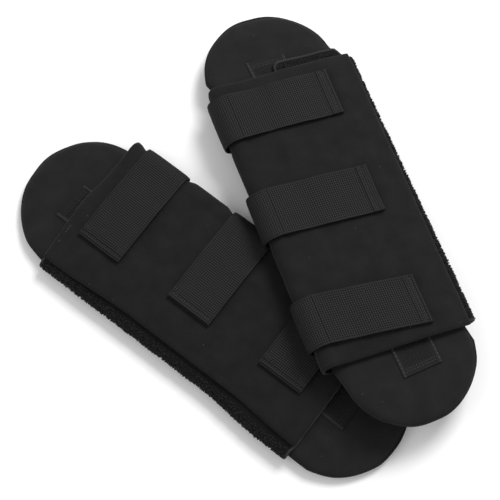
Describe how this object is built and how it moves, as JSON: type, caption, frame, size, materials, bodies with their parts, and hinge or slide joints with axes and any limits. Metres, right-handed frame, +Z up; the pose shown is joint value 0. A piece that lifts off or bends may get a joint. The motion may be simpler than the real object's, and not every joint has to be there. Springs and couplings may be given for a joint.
{
  "type": "hand grips",
  "caption": "Crossed pair of padded hand grips, each a round-ended foam tongue in a folded fabric wrap with webbing straps that close on hook tape.",
  "frame": {"origin": "middle of the pair's box, on the surface that the pair lies on", "axes": "+Z up; +Y from the near ends to the far ends of the crossed pair; +X from the lower grip to the upper one"},
  "size_m": [0.3378, 0.3578, 0.0501],
  "materials": {
    "pad_cover": "black brushed knit, laminated on foam",
    "foam": "closed cell foam sheet",
    "wrap_shell": "black brushed knit",
    "loop_pile": "black loop pile",
    "webbing": "black ribbed polypropylene webbing",
    "hook_tape": "black hook tape"
  },
  "bodies": {
    "lower_grip": {"lower_pad_back_cover": "pad_cover", "lower_pad_core": "foam", "lower_pad_front_cover": "pad_cover", "lower_pad_hook_strip": "hook_tape", "lower_wrap_back_shell": "wrap_shell", "lower_wrap_back_lining": "loop_pile", "lower_wrap_spine_fold": "wrap_shell", "lower_wrap_side_fold": "loop_pile", "lower_strap_root_1": "webbing", "lower_strap_root_2": "webbing", "lower_strap_root_3": "webbing"},
    "lower_flap": {"lower_flap_lining": "loop_pile", "lower_flap_shell": "wrap_shell"},
    "lower_under_flap": {"lower_under_flap": "loop_pile"},
    "lower_strap_1": {"lower_strap_tab_1": "webbing", "lower_strap_hook_1": "hook_tape"},
    "lower_strap_2": {"lower_strap_tab_2": "webbing", "lower_strap_hook_2": "hook_tape"},
    "lower_strap_3": {"lower_strap_tab_3": "webbing", "lower_strap_hook_3": "hook_tape"},
    "upper_grip": {"upper_pad_back_cover": "pad_cover", "upper_pad_core": "foam", "upper_pad_front_cover": "pad_cover", "upper_pad_hook_strip": "hook_tape", "upper_wrap_back_shell": "wrap_shell", "upper_wrap_back_lining": "loop_pile", "upper_wrap_spine_fold": "wrap_shell", "upper_wrap_side_fold": "loop_pile", "upper_strap_root_1": "webbing", "upper_strap_root_2": "webbing", "upper_strap_root_3": "webbing"},
    "upper_flap": {"upper_flap_lining": "loop_pile", "upper_flap_shell": "wrap_shell"},
    "upper_under_flap": {"upper_under_flap": "loop_pile"},
    "upper_strap_1": {"upper_strap_tab_1": "webbing", "upper_strap_hook_1": "hook_tape"},
    "upper_strap_2": {"upper_strap_tab_2": "webbing", "upper_strap_hook_2": "hook_tape"},
    "upper_strap_3": {"upper_strap_tab_3": "webbing", "upper_strap_hook_3": "hook_tape"}
  },
  "joints": [
    {"name": "upper_grip_lift", "type": "slide", "parent": "lower_grip", "child": "upper_grip", "axis": [0, 0, 1], "range_m": [0, 0.35]},
    {"name": "lower_flap_fold", "type": "hinge", "parent": "lower_grip", "child": "lower_flap", "pos_m": [0.01016, 0.0001, 0.0164], "axis": [-0.7965, 0.6046, 0], "range_deg": [0, 100]},
    {"name": "lower_under_flap_fold", "type": "hinge", "parent": "lower_grip", "child": "lower_under_flap", "pos_m": [-0.0546, -0.08521, 0.0143], "axis": [0.7965, -0.6046, 0], "range_deg": [0, 80]},
    {"name": "lower_strap_1_peel", "type": "hinge", "parent": "lower_flap", "child": "lower_strap_1", "pos_m": [0.07217, -0.04722, 0.0197], "axis": [-0.7965, 0.6046, 0], "range_deg": [0, 75]},
    {"name": "lower_strap_2_peel", "type": "hinge", "parent": "lower_flap", "child": "lower_strap_2", "pos_m": [0.00605, 0.00296, 0.0197], "axis": [-0.7965, 0.6046, 0], "range_deg": [0, 75]},
    {"name": "lower_strap_3_peel", "type": "hinge", "parent": "lower_flap", "child": "lower_strap_3", "pos_m": [-0.05926, 0.05254, 0.0197], "axis": [-0.7965, 0.6046, 0], "range_deg": [0, 75]},
    {"name": "upper_flap_fold", "type": "hinge", "parent": "upper_grip", "child": "upper_flap", "pos_m": [0.01928, -0.00064, 0.03765], "axis": [0.3618, -0.9291, 0.077], "range_deg": [0, 100]},
    {"name": "upper_under_flap_fold", "type": "hinge", "parent": "upper_grip", "child": "upper_under_flap", "pos_m": [0.11849, 0.03672, 0.02228], "axis": [-0.3618, 0.9291, -0.077], "range_deg": [0, 80]},
    {"name": "upper_strap_1_peel", "type": "hinge", "parent": "upper_flap", "child": "upper_strap_1", "pos_m": [-0.01291, 0.08371, 0.03394], "axis": [0.3618, -0.9291, 0.077], "range_deg": [0, 75]},
    {"name": "upper_strap_2_peel", "type": "hinge", "parent": "upper_flap", "child": "upper_strap_2", "pos_m": [0.0165, 0.00818, 0.0402], "axis": [0.3618, -0.9291, 0.077], "range_deg": [0, 75]},
    {"name": "upper_strap_3_peel", "type": "hinge", "parent": "upper_flap", "child": "upper_strap_3", "pos_m": [0.04816, -0.07311, 0.04693], "axis": [0.3618, -0.9291, 0.077], "range_deg": [0, 75]}
  ],
  "couplings": [
    {"joint": "lower_flap_fold", "follows": "upper_grip_lift", "rad_per_m": 4.98},
    {"joint": "lower_under_flap_fold", "follows": "upper_grip_lift", "rad_per_m": 3.98},
    {"joint": "lower_strap_1_peel", "follows": "upper_grip_lift", "rad_per_m": 3.73},
    {"joint": "lower_strap_2_peel", "follows": "upper_grip_lift", "rad_per_m": 3.73},
    {"joint": "upper_under_flap_fold", "follows": "upper_flap_fold", "ratio": 0.799}
  ]
}
